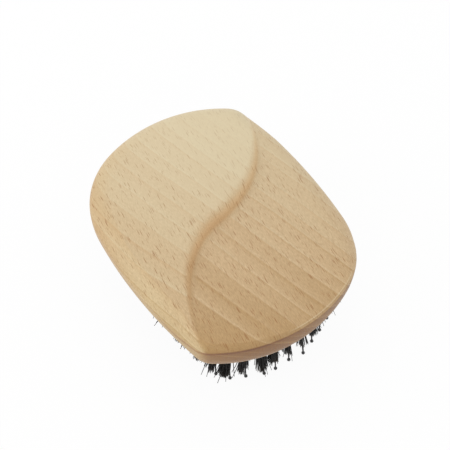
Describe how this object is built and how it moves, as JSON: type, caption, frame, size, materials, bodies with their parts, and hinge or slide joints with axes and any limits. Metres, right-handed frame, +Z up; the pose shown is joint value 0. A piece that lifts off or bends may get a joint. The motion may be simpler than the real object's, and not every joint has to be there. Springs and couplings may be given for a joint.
{
  "type": "palm hairbrush",
  "caption": "Handle-less beech hairbrush with an S-shaped step in its sculpted back and an air-cushioned bed of dark bristle tufts with ball-tipped quills.",
  "frame": {"origin": "on the plane that the quill tips stand on, under the middle of the brush", "axes": "+X along the brush towards the end of the hollow half, +Y across it, +Z up through the wooden back"},
  "size_m": [0.0982, 0.0764, 0.0432],
  "materials": {
    "beech": "satin",
    "cushion_rubber": "matte",
    "bristle": "satin"
  },
  "bodies": {
    "back": {"wooden_back": "beech", "cushion_rim": "cushion_rubber"},
    "bristle_bed": {"bristle_bed_front_right": "bristle", "bristle_bed_back_right": "bristle", "bristle_bed_back_left": "bristle", "bristle_bed_front_left": "bristle"}
  },
  "joints": [
    {"name": "cushion_press", "type": "slide", "parent": "back", "child": "bristle_bed", "axis": [0, 0, 1], "range_m": [0, 0.002], "stiffness_N_per_m": 2000}
  ]
}
